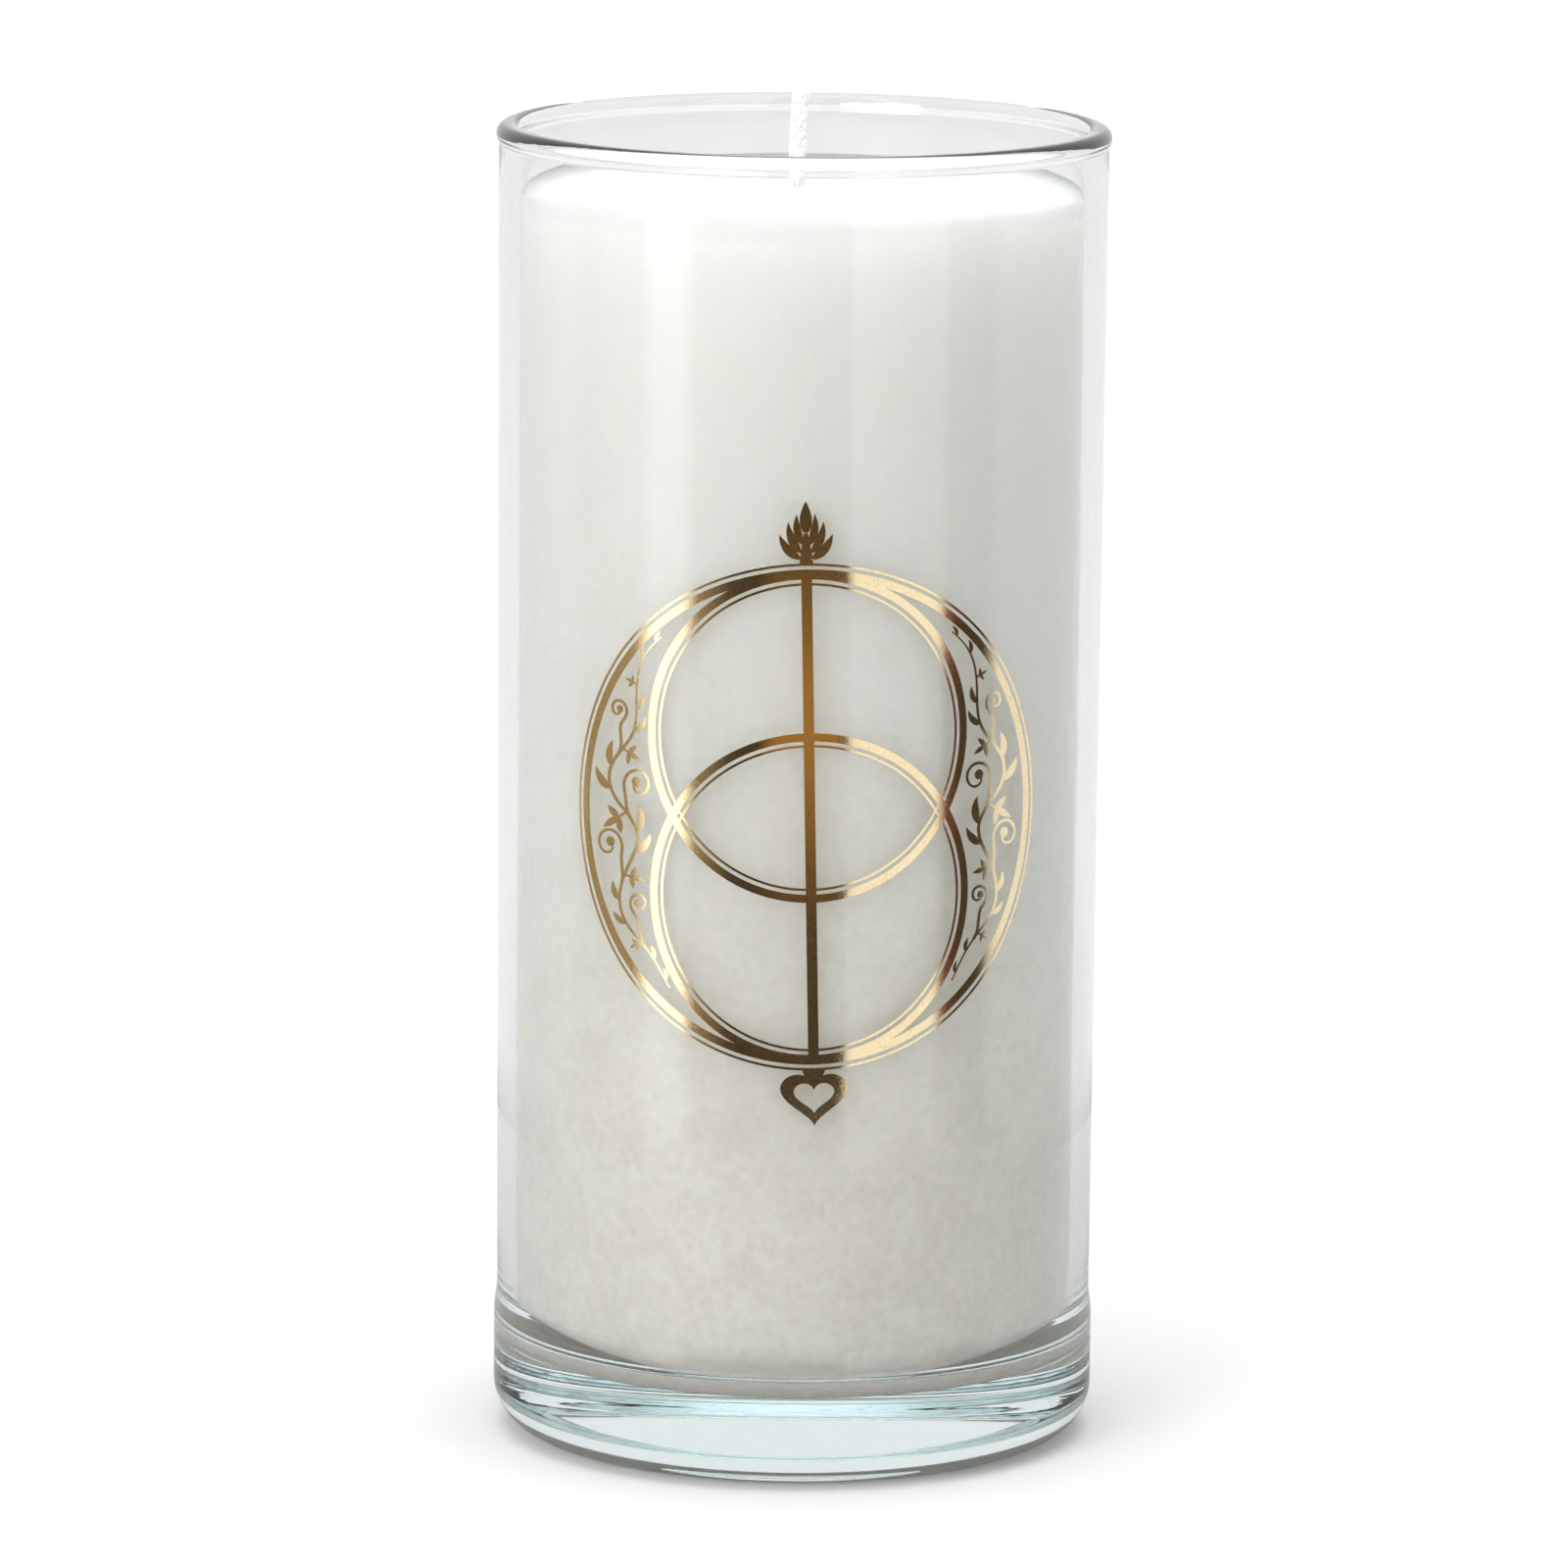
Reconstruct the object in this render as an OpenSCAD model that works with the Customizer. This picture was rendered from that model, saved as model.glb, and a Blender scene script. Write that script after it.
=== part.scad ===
// Unity candle: poured wax and a cotton wick in a heavy-bottomed straight glass,
// with a gold emblem of two linked rings printed on the front.
// Millimetres, +Z up. The origin is the middle of the foot, on the table.
// The emblem faces -Y.

/* [Glass] */
// Height of the glass
glass_h = 165; // [130:1:200]
// Diameter over the rounded bead at the rim
rim_d = 76.4; // [70:0.2:84]
// How far the bead stands out from the wall below it
bead_out = 0.35; // [0.2:0.05:0.6]
// How much narrower the body is just above the heel than under the bead, on the diameter
draft = 0.9; // [0:0.1:2]
// How far the heel stands out from the body above it
heel_out = 0.35; // [0.2:0.05:0.8]
// Height of the heel, up to where its shoulder has run into the body
heel_h = 18.5; // [16:0.5:22]
// Thickness of the wall
wall = 2.8; // [2.2:0.1:3.4]
// Thickness of the bottom, from the table to the inner floor
floor_h = 10.7; // [9:0.1:14]
// Depth of the hollow under the bottom
push_up = 1.6; // [0.8:0.1:2.5]

/* [Wax and wick] */
// Gap from the top of the wax to the rim
headspace = 8.5; // [6:0.5:20]
// Shrinkage gap between the wax and the wall
wax_gap = 0.1; // [0.05:0.05:0.3]
// Diameter of the braided wick
wick_d = 2.2; // [1.6:0.1:3]
// Length of wick that stands above the wax
wick_out = 12.4; // [6:0.1:20]
// How far the wick stands off the middle
wick_off = 0.85; // [0:0.05:2]
// Lean of the wick at its tip, in degrees
wick_lean = 4; // [1:0.5:8]
// Diameter of the wick's metal tab
tab_d = 20; // [14:0.5:26]

/* [Emblem] */
// Outer diameter of the emblem's ring
ring_d = 62.7; // [50:0.1:66]
// Height of the emblem's middle above the table
emblem_z = 84.4; // [80:0.1:90]
// Turn of the emblem on the glass, in degrees
emblem_turn = 1.4; // [-3:0.1:3]
// Thickness of the gold
gold_t = 0.12; // [0.08:0.01:0.2]
// Width of the broad lines
line_w = 1; // [0.7:0.05:1.2]
// Width of the fine lines
hair_w = 0.3; // [0.2:0.05:0.4]
// Width of the upright bar
bar_w = 1.3; // [1:0.1:1.8]

/* [Hidden] */
$fn = 180;

// Glass profile
rim_r = rim_d / 2;
top_r = rim_r - bead_out;
foot_r = top_r - draft / 2;
heel_r = foot_r + heel_out;
heel_round = 6;
bead_h = 2.3;
lip_r = 1.35;
inner_r = top_r - wall;
toe_w = 6;
toe_h = 7;
bearing_w = 3.5;
step_h = 4;

// Wick and tab
wax_z = glass_h - headspace;
sticker_t = 0.8;
sticker_d = tab_d - 2;
tab_t = 0.3;
tab_z = floor_h + sticker_t;
neck_d = wick_d + 0.8;
neck_h = 6;
core_d = 0.7;
bend_z = wax_z + 2;
bend_r = round((wick_out - 2) / (wick_lean * PI / 180));

// Emblem
ring_r = ring_d / 2;
hair_gap = 0.45;
band_r = ring_r - hair_w - hair_gap;
link_r = ring_r * 0.652;
link_v = band_r - line_w * 0.2 - link_r;
emblem_r = foot_r + (top_r - foot_r) * (emblem_z - heel_h) / (glass_h - bead_h - heel_h);
film_margin = 12;
film_low = emblem_z - ring_r - film_margin;
film_high = emblem_z + ring_r + film_margin;

// Leaves of the finial: foot across and up, heading, length, width and bend
finial_leaves = [[0.5, 0.5, 22, 4.1, 1.15, 26], [0.5, 1.2, 43, 4.2, 1.1, 24], [0.4, 2.2, 62, 3.9, 1, 18]];
finial_stalk = 4;
finial_bud = [4.2, 1.5];

// Heart under the ring: outer width and height, the opening as a part of it, and the neck's half widths
heart_w = 8.3;
heart_h = 3.6;
heart_v = -ring_r - 3.15;
heart_open = [0.6, 0.58];
heart_neck = [1.5, 0.6];

// Running vine in each crescent: angles from level about the ring's middle
vine_waves = 10;
vine_half_wave = 180 / vine_waves;
vine_end = 50;
vine_n = 50;
leaf_step = 6;
vine_swing = 0.42;
curl_n = 22;
curl_turn = 420;
curl_open = 0.44;
curl_shut = 0.1;
curl_off = 0.47;
stem_w = 0.46;

// Sprigs, as parts of the crescent's half width
sprig_stalk = 0.22;
sprig_mid = 0.5;
sprig_side = 0.36;
sprig_w = 0.16;
sprig_fan = 55;

function arc(cx, cy, rx, ry, a0, a1, n) =
    [for (i = [0:n]) let (a = a0 + (a1 - a0) * i / n) [cx + rx * cos(a), cy + ry * sin(a)]];

function body_r(z) = foot_r + (top_r - foot_r) * (z - heel_h) / (glass_h - bead_h - heel_h);

// Inner outline from the middle of the floor up the curved toe, set in by a gap
function inner_profile(gap) = concat(
    [[0, floor_h]],
    arc(inner_r - toe_w, floor_h + toe_h, toe_w - gap, toe_h - gap * 0.5, -90, 0, 16)
);

// ---- emblem outlines: flat u, v points, turned and then laid round the glass ----

function turned(p) = [
    p[0] * cos(emblem_turn) - p[1] * sin(emblem_turn),
    p[0] * sin(emblem_turn) + p[1] * cos(emblem_turn)
];
function laid(p) = let (q = turned(p)) [emblem_r * sin(q[0] / emblem_r * 180 / PI), emblem_z + q[1]];

function heading(pts, i) = let (
    a = pts[max(i - 1, 0)],
    b = pts[min(i + 1, len(pts) - 1)],
    d = b - a
) d / norm(d);

// Outline of a line of changing width along a path
function ribbon(pts, w) = concat(
    [for (i = [0:len(pts) - 1]) let (d = heading(pts, i)) pts[i] + [-d[1], d[0]] * w[i] / 2],
    [for (i = [len(pts) - 1:-1:0]) let (d = heading(pts, i)) pts[i] - [-d[1], d[0]] * w[i] / 2]
);

// Pointed leaf from a stalk end, bent to one side
function leaf_points(base, dir, l, w, bend) = let (
    n = 8,
    mid = [for (i = [0:n]) let (t = i / n, a = dir + bend * t) base + l * t * [cos(a), sin(a)]],
    half = [for (i = [0:n]) max(0.04, w * pow(sin(180 * pow(i / n, 0.85)), 0.9))]
) ribbon(mid, half);

function sided(pts, side) = [for (p = pts) [side * p[0], p[1]]];

module flat_shape(pts) {
    polygon([for (p = pts) laid(p)]);
}

module flat_ring(r_out, r_in, v, n = 120) {
    outer = arc(0, v, r_out, r_out, 0, 360 * (n - 1) / n, n - 1);
    inner = arc(0, v, r_in, r_in, 0, 360 * (n - 1) / n, n - 1);
    difference() {
        flat_shape(outer);
        flat_shape(inner);
    }
}

// Upright tapered strip on the middle line, from one height and half width to another
module taper(v0, w0, v1, w1) {
    flat_shape([[-w0, v0], [w0, v0], [w1, v1], [-w1, v1]]);
}

module ring_band() {
    flat_ring(band_r, band_r - line_w, 0, 180);
}

module ring_disc() {
    flat_shape(arc(0, 0, ring_r, ring_r, 0, 358, 179));
}

// Stretch of the glass's outside that the emblem is on, swollen by a given thickness
module body_cone(out) {
    translate([0, 0, film_low])
        cylinder(h = film_high - film_low, r1 = body_r(film_low) + out, r2 = body_r(film_high) + out);
}

// Film of gold over the glass, kept where the flat shape stands in front of it
module gilded() {
    intersection() {
        rotate([90, 0, 0]) linear_extrude(height = rim_r + 5) children();
        difference() {
            body_cone(gold_t);
            body_cone(0);
        }
    }
}

// ---- sub-parts ----

module glass_vessel() {
    color([0.82, 0.9, 0.9, 0.4])
        rotate_extrude()
            polygon(concat(
                [[0, push_up]],
                arc(0, 0, heel_r - heel_round - bearing_w, push_up, 78, 0, 8),
                arc(heel_r - heel_round, heel_round, heel_round, heel_round, -90, 0, 10),
                [for (i = [0:8]) let (t = i / 8)
                    [heel_r - heel_out * t * t * (3 - 2 * t), heel_h - step_h * (1 - t)]],
                [[top_r, glass_h - bead_h]],
                arc(rim_r - lip_r, glass_h - lip_r, lip_r, lip_r, -40, 90, 10),
                arc(inner_r + lip_r * 0.8, glass_h - lip_r * 1.4, lip_r * 0.8, lip_r * 1.4, 100, 180, 6),
                [for (i = [len(inner_profile(0)) - 1:-1:0]) inner_profile(0)[i]]
            ));
}

module wax_fill() {
    color("floralwhite")
        difference() {
            rotate_extrude()
                polygon(concat(
                    inner_profile(wax_gap),
                    arc(inner_r - wax_gap - 1.6, wax_z + 0.8, 1.6, 0.8, 0, -90, 6),
                    [[0, wax_z]]
                ));
            translate([-wick_off, 0, floor_h - 1]) cylinder(h = sticker_t + tab_t + 1, d = tab_d);
            translate([-wick_off, 0, floor_h]) cylinder(h = sticker_t + tab_t + neck_h, d = neck_d);
            translate([-wick_off, 0, floor_h]) cylinder(h = glass_h, d = wick_d);
        }
}

// The wick's section, straight up through the wax and bending a little above it
module wick_path() {
    translate([-wick_off, 0, tab_z]) linear_extrude(height = bend_z - tab_z) children();
    translate([bend_r - wick_off, 0, bend_z])
        mirror([1, 0, 0]) rotate([90, 0, 0])
            rotate_extrude(angle = wick_lean) translate([bend_r, 0]) children();
}

module wick_braid() {
    color("ivory") wick_path()
        difference() {
            circle(d = wick_d);
            circle(d = core_d);
        }
}

module wick_core() {
    color("gainsboro") wick_path() circle(d = core_d);
}

module wick_sustainer() {
    color("silver")
        translate([-wick_off, 0, tab_z])
            difference() {
                union() {
                    cylinder(h = tab_t, d = tab_d);
                    cylinder(h = tab_t + neck_h, d = neck_d);
                }
                translate([0, 0, -1]) cylinder(h = neck_h + 3, d = wick_d);
            }
}

module sustainer_sticker() {
    color("white") translate([-wick_off, 0, floor_h]) cylinder(h = sticker_t, d = sticker_d);
}

// A broad line with a fine one inside it
module lines(r, v) {
    flat_ring(r, r - line_w, v);
    flat_ring(r - line_w - hair_gap, r - line_w - hair_gap - hair_w, v);
}

module bar_shape() {
    taper(line_w / 2 - band_r, bar_w / 2, band_r - line_w / 2, bar_w / 2);
}

module print_outer_ring() {
    color("goldenrod") gilded() {
        flat_ring(ring_r, ring_r - hair_w, 0, 180);
        ring_band();
    }
}

module print_upper_ring() {
    color("gold") gilded()
        difference() {
            lines(link_r, link_v);
            ring_band();
            bar_shape();
        }
}

module print_lower_ring() {
    color("darkgoldenrod") gilded()
        difference() {
            lines(link_r, -link_v);
            lines(link_r, link_v);
            ring_band();
            bar_shape();
        }
}

module print_bar() {
    color("gold") gilded()
        difference() {
            bar_shape();
            ring_band();
        }
}

// Plain palmette: a bud over three pairs of leaves
module print_leaf_finial() {
    color("goldenrod") gilded()
        difference() {
            union() {
                for (p = finial_leaves, side = [-1, 1])
                    flat_shape(sided(leaf_points([p[0], ring_r + p[1]], p[2], p[3], p[4], p[5]), side));
                flat_shape(leaf_points([0, ring_r + finial_stalk - 0.6], 90, finial_bud[0], finial_bud[1], 0));
                taper(ring_r - hair_w, 0.9, ring_r + finial_stalk, 0.25);
            }
            ring_disc();
        }
}

function heart_points(w, h, v) = [for (i = [0:47]) let (a = i * 7.5)
    [w * pow(sin(a), 3), v + h * (13 * cos(a) - 5 * cos(2 * a) - 2 * cos(3 * a) - cos(4 * a)) / 16]];

// Plain open heart on a short neck under the ring
module print_heart_drop() {
    color("goldenrod") gilded()
        difference() {
            union() {
                flat_shape(heart_points(heart_w / 2, heart_h, heart_v));
                taper(hair_w - ring_r, heart_neck[0], heart_v + heart_h / 4, heart_neck[1]);
            }
            flat_shape(heart_points(heart_w / 2 * heart_open[0], heart_h * heart_open[1], heart_v));
            ring_disc();
        }
}

// Edges of the crescent between the ring and the two linked rings, at an angle from level
function crescent_in(a) = link_v * abs(sin(a)) + sqrt(pow(link_r, 2) - pow(link_v * cos(a), 2));
function crescent_half(a) = (band_r - line_w - crescent_in(a)) / 2;
function spot(a, t) = (crescent_in(a) + crescent_half(a) * (1 + t)) * [cos(a), sin(a)];
function vine(a) = spot(a, vine_swing * sin(a * vine_waves));
function vine_heading(a) = let (d = vine(a + 0.5) - vine(a - 0.5)) atan2(d[1], d[0]);
function unit(a) = [cos(a), sin(a)];
function bezier(p, t) = let (s = 1 - t)
    s * s * s * p[0] + 3 * t * s * s * p[1] + 3 * t * t * s * p[2] + t * t * t * p[3];

// Path of a curl that leaves the vine and winds up in the hollow beside it
function curl_path(a, hand) = let (
    w = crescent_half(a),
    root = a - 11,
    centre = spot(a, -curl_off * hand),
    a0 = a + (hand > 0 ? -25 : 205),
    r0 = curl_open * w,
    r1 = curl_shut * w,
    first = centre + r0 * unit(a0),
    pull = norm(first - vine(root)) / 2.5,
    rise = vine(root) + pull * unit(vine_heading(root)),
    lead = [vine(root), rise, first - pull * hand * unit(a0 + 90), first]
) concat(
    [for (i = [0:5]) bezier(lead, i / 6)],
    [for (i = [0:curl_n]) let (t = i / curl_n) centre + (r0 + (r1 - r0) * t) * unit(a0 + hand * curl_turn * t)]
);

// Running vine with a curl in each hollow, leaves on the outside of its bends and a sprig of three
// where it crosses over
module scroll(side) {
    angles = [for (i = [0:vine_n]) -vine_end + 2 * vine_end * i / vine_n];
    crossings = [for (i = [-2:2]) i * vine_half_wave];
    crests = [for (i = [-2:1]) (i + 0.5) * vine_half_wave];
    gilded() {
        widths = [for (a = angles) stem_w * (0.3 + 0.7 * cos(a * 1.7))];
        flat_shape(sided(ribbon([for (a = angles) vine(a)], widths), side));
        for (i = [-8:8]) if (i % 3 != 0) {
            a = i * leaf_step;
            w = crescent_half(a);
            out = -sign(sin(a * vine_waves));
            flat_shape(sided(leaf_points(vine(a), vine_heading(a) + 50 * out,
                0.5 * w + 0.8, 0.17 * w + 0.24, -30 * out), side));
        }
        for (a = crossings) {
            w = crescent_half(a);
            dir = vine_heading(a) - 75 * sign(cos(a * vine_waves));
            tip = vine(a) + sprig_stalk * w * unit(dir);
            flat_shape(sided(ribbon([vine(a), tip], [hair_w, hair_w]), side));
            for (k = [-1, 0, 1]) {
                leaf_l = (k == 0 ? sprig_mid : sprig_side) * w;
                flat_shape(sided(leaf_points(tip, dir + sprig_fan * k, leaf_l, sprig_w * w, 12 * k), side));
            }
        }
        for (a = crests) {
            path = curl_path(a, sin(a * vine_waves) > 0 ? 1 : -1);
            last = len(path) - 1;
            berry = 0.1 * crescent_half(a) + 0.14;
            flat_shape(sided(ribbon(path, [for (i = [0:last]) stem_w * (1 - 0.4 * i / last)]), side));
            flat_shape(sided(arc(path[last][0], path[last][1], berry, berry, 0, 330, 11), side));
        }
    }
}

module print_left_scroll() {
    color("gold") scroll(-1);
}

module print_right_scroll() {
    color("gold") scroll(1);
}

glass_vessel();
wax_fill();
wick_braid();
wick_core();
wick_sustainer();
sustainer_sticker();
print_outer_ring();
print_upper_ring();
print_lower_ring();
print_bar();
print_leaf_finial();
print_heart_drop();
print_left_scroll();
print_right_scroll();
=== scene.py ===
import math
import bmesh
import bpy
from mathutils import Euler, Matrix, Vector, noise


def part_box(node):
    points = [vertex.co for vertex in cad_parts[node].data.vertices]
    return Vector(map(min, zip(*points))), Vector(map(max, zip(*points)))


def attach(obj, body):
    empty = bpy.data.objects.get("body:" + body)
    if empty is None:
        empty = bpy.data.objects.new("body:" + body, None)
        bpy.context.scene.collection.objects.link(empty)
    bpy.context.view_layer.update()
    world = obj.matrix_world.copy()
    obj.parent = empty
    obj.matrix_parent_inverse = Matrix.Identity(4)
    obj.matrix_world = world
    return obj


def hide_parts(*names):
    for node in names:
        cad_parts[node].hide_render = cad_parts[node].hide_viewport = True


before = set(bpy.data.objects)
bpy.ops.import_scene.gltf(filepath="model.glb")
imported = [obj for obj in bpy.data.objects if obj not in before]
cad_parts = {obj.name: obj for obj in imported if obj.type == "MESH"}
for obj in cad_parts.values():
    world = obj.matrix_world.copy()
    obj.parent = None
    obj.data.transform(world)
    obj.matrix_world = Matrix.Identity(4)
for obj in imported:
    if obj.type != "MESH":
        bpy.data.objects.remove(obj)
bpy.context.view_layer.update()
scene = bpy.context.scene
mm = 0.001
fullTurn = 2 * math.pi
print("frame loaded:", len(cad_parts), "CAD nodes")


# node helpers, used by the geometry trees and by the materials
def isSocket(value):
    return isinstance(value, bpy.types.NodeSocket)


def feed(tree, socket, value):
    if isSocket(value):
        tree.links.new(value, socket)
    else:
        socket.default_value = value


def addNode(tree, kind, settings=None, **inputs):
    node = tree.nodes.new(kind)
    for key, value in (settings or {}).items():
        setattr(node, key, value)
    for key, value in inputs.items():
        feed(tree, node.inputs[key.replace("_", " ")], value)
    return node


def calc(tree, operation, *values):
    node = tree.nodes.new("ShaderNodeMath")
    node.operation = operation
    for socket, value in zip(node.inputs, values):
        feed(tree, socket, value)
    return node.outputs[0]


def newTree(name, wanted):
    tree = bpy.data.node_groups.new(name, "GeometryNodeTree")
    tree.interface.new_socket("Geometry", in_out="INPUT", socket_type="NodeSocketGeometry")
    tree.interface.new_socket("Geometry", in_out="OUTPUT", socket_type="NodeSocketGeometry")
    for label, kind in wanted.items():
        tree.interface.new_socket(label, in_out="INPUT", socket_type="NodeSocket" + kind)
    return tree, tree.nodes.new("NodeGroupInput").outputs, tree.nodes.new("NodeGroupOutput").inputs


def endTree(tree, geometry, material, out):
    smooth = addNode(tree, "GeometryNodeSetShadeSmooth", Geometry=geometry)
    real = addNode(tree, "GeometryNodeRealizeInstances", Geometry=smooth.outputs[0])
    painted = addNode(tree, "GeometryNodeSetMaterial", Geometry=real.outputs[0], Material=material)
    tree.links.new(painted.outputs[0], out["Geometry"])


def grown(name, tree, startMesh, values):
    # run a geometry tree on a start mesh and keep the result as a plain mesh
    maker = bpy.data.objects.new(name + "Maker", startMesh)
    scene.collection.objects.link(maker)
    modifier = maker.modifiers.new("grow", "NODES")
    modifier.node_group = tree
    for item in tree.interface.items_tree:
        if item.item_type == "SOCKET" and item.in_out == "INPUT" and item.name in values:
            modifier[item.identifier] = values[item.name]
    graph = bpy.context.evaluated_depsgraph_get()
    mesh = bpy.data.meshes.new_from_object(maker.evaluated_get(graph), depsgraph=graph)
    maker.modifiers.remove(modifier)
    bpy.data.objects.remove(maker)
    mesh.name = name
    return mesh


def addPiece(name, mesh, material, slotName, *nodeNames):
    mesh.materials.clear()
    mesh.materials.append(material)
    piece = bpy.data.objects.new(name, mesh)
    scene.collection.objects.link(piece)
    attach(piece, "root")
    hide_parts(*nodeNames)
    print("piece", name, len(mesh.polygons), "faces")


def outwards(mesh):
    # turn a closed mesh the right way out, by the sign of its volume
    work = bmesh.new()
    work.from_mesh(mesh)
    if work.calc_volume(signed=True) < 0:
        bmesh.ops.reverse_faces(work, faces=work.faces)
        work.to_mesh(mesh)
    work.free()


def arcPoints(cx, cz, rx, rz, start, end, steps):
    angles = [math.radians(start + (end - start) * i / steps) for i in range(steps + 1)]
    return [(cx + rx * math.cos(a), cz + rz * math.sin(a)) for a in angles]


def linePoints(first, last, steps):
    return [tuple(a + (b - a) * i / steps for a, b in zip(first, last)) for i in range(1, steps)]


# materials
def newMaterial(name):
    material = bpy.data.materials.new(name)
    material.use_nodes = True
    tree = material.node_tree
    return material, tree, tree.nodes["Principled BSDF"]


def setShader(shader, **values):
    for key, value in values.items():
        shader.inputs[key.replace("_", " ")].default_value = value


def objectSpace(tree, scale=(1, 1, 1)):
    place = addNode(tree, "ShaderNodeTexCoord")
    return addNode(tree, "ShaderNodeMapping", Vector=place.outputs["Object"], Scale=scale).outputs[0]


def noiseField(tree, vector, scale, detail=3.0, roughness=0.5, distortion=0.0):
    return addNode(tree, "ShaderNodeTexNoise", Vector=vector, Scale=scale, Detail=detail,
                   Roughness=roughness, Distortion=distortion).outputs["Fac"]


def rampField(tree, factor, stops):
    ramp = addNode(tree, "ShaderNodeValToRGB", Fac=factor)
    points = ramp.color_ramp.elements
    points.remove(points[-1])
    points[0].position = stops[0][0]
    points[0].color = (*stops[0][1], 1)
    for position, colour in stops[1:]:
        points.new(position).color = (*colour, 1)
    return ramp.outputs["Color"]


def spread(tree, factor, low, high, fromLow=0.0, fromHigh=1.0):
    node = addNode(tree, "ShaderNodeMapRange")
    for socket, value in zip(node.inputs, (factor, fromLow, fromHigh, low, high)):
        feed(tree, socket, value)
    return node.outputs[0]


def mixColours(tree, factor, first, second):
    mix = addNode(tree, "ShaderNodeMix", {"data_type": "RGBA"})
    for socket, value in zip((mix.inputs["Factor"], mix.inputs[6], mix.inputs[7]), (factor, first, second)):
        feed(tree, socket, value)
    return mix.outputs[2]


def bumpFrom(tree, shader, height, distance, strength):
    bump = addNode(tree, "ShaderNodeBump", Height=height, Distance=distance, Strength=strength)
    tree.links.new(bump.outputs[0], shader.inputs["Normal"])


glassLook = {
    "tint": (0.985, 0.995, 0.992),
    "ior": 1.52,
    "absorption": (0.44, 0.70, 0.72),
    "absorptionPerMetre": 4.2,
    "streakScale": (330, 330, 22),
    "streakHeight": 0.00002,
    "streakStrength": 0.35,
    "smudgeScale": 55.0,
    "smudgeRoughness": 0.03,
}


def clearGlass():
    look = glassLook
    material, tree, shader = newMaterial("clearGlass")
    setShader(shader, Base_Color=(*look["tint"], 1), Transmission_Weight=1.0, IOR=look["ior"])
    streaks = noiseField(tree, objectSpace(tree, look["streakScale"]), 1.0, 2.0)
    smudge = noiseField(tree, objectSpace(tree), look["smudgeScale"], 4.0)
    feed(tree, shader.inputs["Roughness"], spread(tree, smudge, 0.0, look["smudgeRoughness"], 0.45, 0.8))
    bumpFrom(tree, shader, streaks, look["streakHeight"], look["streakStrength"])
    body = addNode(tree, "ShaderNodeVolumeAbsorption", Color=(*look["absorption"], 1),
                   Density=look["absorptionPerMetre"])
    tree.links.new(body.outputs[0], tree.nodes["Material Output"].inputs["Volume"])
    return material


waxLook = {
    "shade": (0.755, 0.725, 0.65),
    "light": (0.86, 0.832, 0.765),
    # painted light: the lighter colour the wax takes towards the top, standing in for light falling from
    # above
    "paintedTopLight": (0.975, 0.957, 0.915),
    "paintedLightFrom": 0.03,
    "paintedLightTo": 0.165,
    "subsurfaceDepth": 0.016,
    "radii": (1.0, 0.95, 0.85),
    "ior": 1.44,
    "roughness": (0.42, 0.62),
    "mottleScale": 160.0,
    "mottleShare": 0.5,
    "crystalScale": 700.0,
    "crystalShare": 0.2,
    "needleScale": 420.0,
    "needleShare": 0.35,
    "grainHeight": 0.00012,
    "grainStrength": 0.5,
}


def pouredWax():
    look = waxLook
    material, tree, shader = newMaterial("whiteWax")
    place = objectSpace(tree)
    clouds = noiseField(tree, place, look["mottleScale"], 5.0, 0.6, 0.4)
    crystals = addNode(tree, "ShaderNodeTexVoronoi", {"feature": "F1"}, Vector=place,
                       Scale=look["crystalScale"], Randomness=1.0).outputs["Distance"]
    needles = noiseField(tree, place, look["needleScale"], 3.0, 0.65, 4.0)
    fleck = calc(tree, "MULTIPLY", clouds, look["mottleShare"])
    fleck = calc(tree, "MULTIPLY_ADD", crystals, look["crystalShare"], fleck)
    fleck = calc(tree, "MULTIPLY_ADD", needles, look["needleShare"], fleck)
    colour = rampField(tree, fleck, [(0.36, look["shade"]), (0.62, look["light"])])
    # painted light and shade: going up, the mottled wax is mixed into a lighter colour, so it is darker low
    # down and lighter at the top, standing in for light falling from above
    height = addNode(tree, "ShaderNodeSeparateXYZ", Vector=place).outputs["Z"]
    paintedLightShare = spread(tree, height, 0.0, 1.0, look["paintedLightFrom"], look["paintedLightTo"])
    feed(tree, shader.inputs["Base Color"], mixColours(tree, paintedLightShare, colour, (*look["paintedTopLight"], 1)))
    setShader(shader, Subsurface_Weight=1.0, Subsurface_Radius=look["radii"],
              Subsurface_Scale=look["subsurfaceDepth"], IOR=look["ior"])
    feed(tree, shader.inputs["Roughness"], spread(tree, clouds, *look["roughness"]))
    bumpFrom(tree, shader, calc(tree, "ADD", crystals, needles), look["grainHeight"], look["grainStrength"])
    return material


goldLook = {
    "deep": (0.76, 0.57, 0.27),
    "gold": (0.89, 0.75, 0.49),
    "pale": (0.95, 0.85, 0.63),
    "speckScale": 3200.0,
    "speckShare": 0.7,
    "washScale": 240.0,
    "washShare": 0.3,
    "roughness": (0.05, 0.15),
    "grainHeight": 0.00001,
    "grainStrength": 0.6,
}


def brightGold():
    look = goldLook
    material, tree, shader = newMaterial("brightGold")
    place = objectSpace(tree)
    specks = noiseField(tree, place, look["speckScale"], 2.0, 0.7)
    wash = noiseField(tree, place, look["washScale"])
    blend = calc(tree, "ADD", calc(tree, "MULTIPLY", specks, look["speckShare"]),
                 calc(tree, "MULTIPLY", wash, look["washShare"]))
    colour = rampField(tree, blend, [(0.28, look["deep"]), (0.45, look["gold"]), (0.75, look["pale"])])
    feed(tree, shader.inputs["Base Color"], colour)
    setShader(shader, Metallic=1.0)
    feed(tree, shader.inputs["Roughness"], spread(tree, specks, *look["roughness"], 0.3, 0.7))
    bumpFrom(tree, shader, blend, look["grainHeight"], look["grainStrength"])
    return material


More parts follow.
